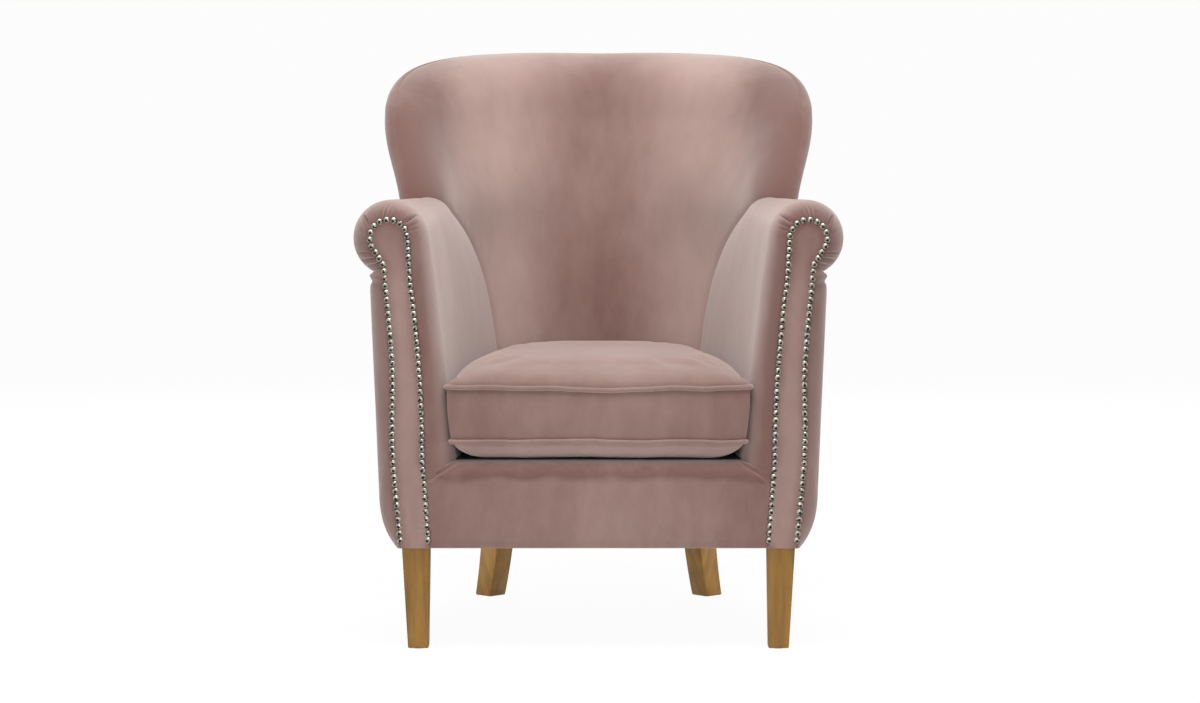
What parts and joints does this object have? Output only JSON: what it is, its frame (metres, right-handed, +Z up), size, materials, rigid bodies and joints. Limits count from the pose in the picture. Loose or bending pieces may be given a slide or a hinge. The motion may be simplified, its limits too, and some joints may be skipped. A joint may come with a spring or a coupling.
{
  "type": "upholstered armchair",
  "caption": "Small upholstered tub armchair with a raked barrel back, scroll arms with nailed fronts, a loose box cushion with piped edges and short tapered wooden legs.",
  "frame": {"origin": "on the floor under the centre of the chair's box", "axes": "+X to the right seen from the front, +Y to the back, +Z up"},
  "size_m": [0.7378, 0.7388, 0.9105],
  "materials": {
    "velvet": "short-pile dusty pink velvet",
    "black_lining": "thin woven lining",
    "foam": "open-cell foam",
    "frame_timber": "sawn hardwood",
    "leg_wood": "satin lacquered oak",
    "webbing": "woven elastic webbing",
    "nail_metal": "antiqued nickel",
    "steel": "zinc plated",
    "nylon": "moulded nylon"
  },
  "bodies": {
    "chair": {"front_rail": "frame_timber", "right_side_rail": "frame_timber", "left_side_rail": "frame_timber", "right_front_post": "frame_timber", "left_front_post": "frame_timber", "right_arm_rail": "frame_timber", "left_arm_rail": "frame_timber", "right_front_corner_block": "frame_timber", "left_front_corner_block": "frame_timber", "right_rear_corner_block": "frame_timber", "left_rear_corner_block": "frame_timber", "right_wing_post": "frame_timber", "left_wing_post": "frame_timber", "back_top_rail": "frame_timber", "back_lower_rail": "frame_timber", "back_seat_rail": "frame_timber", "right_front_leg_plate": "steel", "left_front_leg_plate": "steel", "right_rear_leg_plate": "steel", "left_rear_leg_plate": "steel", "seat_spring_1": "steel", "seat_spring_2": "steel", "seat_spring_3": "steel", "seat_spring_4": "steel", "seat_spring_5": "steel", "front_spring_clip_strip": "steel", "rear_spring_clip_strip": "steel", "back_webbing_1": "webbing", "back_webbing_2": "webbing", "back_webbing_3": "webbing", "inner_back_pad": "velvet", "outer_back_panel": "velvet", "right_arm_pad": "velvet", "left_arm_pad": "velvet", "right_outer_arm_panel": "velvet", "left_outer_arm_panel": "velvet", "right_arm_facing": "velvet", "left_arm_facing": "velvet", "front_border": "velvet", "platform_pad": "foam", "platform_cloth": "black_lining", "dust_cover": "black_lining", "right_arm_nails": "nail_metal", "left_arm_nails": "nail_metal", "right_front_leg": "leg_wood", "left_front_leg": "leg_wood", "right_rear_leg": "leg_wood", "left_rear_leg": "leg_wood", "right_front_glide": "nylon", "left_front_glide": "nylon", "right_rear_glide": "nylon", "left_rear_glide": "nylon"},
    "cushion": {"cushion_core": "foam", "cushion_top_cover": "velvet", "cushion_bottom_cover": "velvet", "cushion_border": "velvet", "cushion_top_piping": "velvet", "cushion_bottom_piping": "velvet", "cushion_zip_tape": "nylon"},
    "zip_slider": {"cushion_zip_slider": "nail_metal"}
  },
  "joints": [
    {"name": "cushion_lift", "type": "slide", "parent": "chair", "child": "cushion", "axis": [0, 0, 1], "range_m": [0, 0.4]},
    {"name": "zip_slider_travel", "type": "hinge", "parent": "cushion", "child": "zip_slider", "pos_m": [0, -0.15566, 0.357], "axis": [0, 0, 1], "range_deg": [-18, 18]}
  ]
}
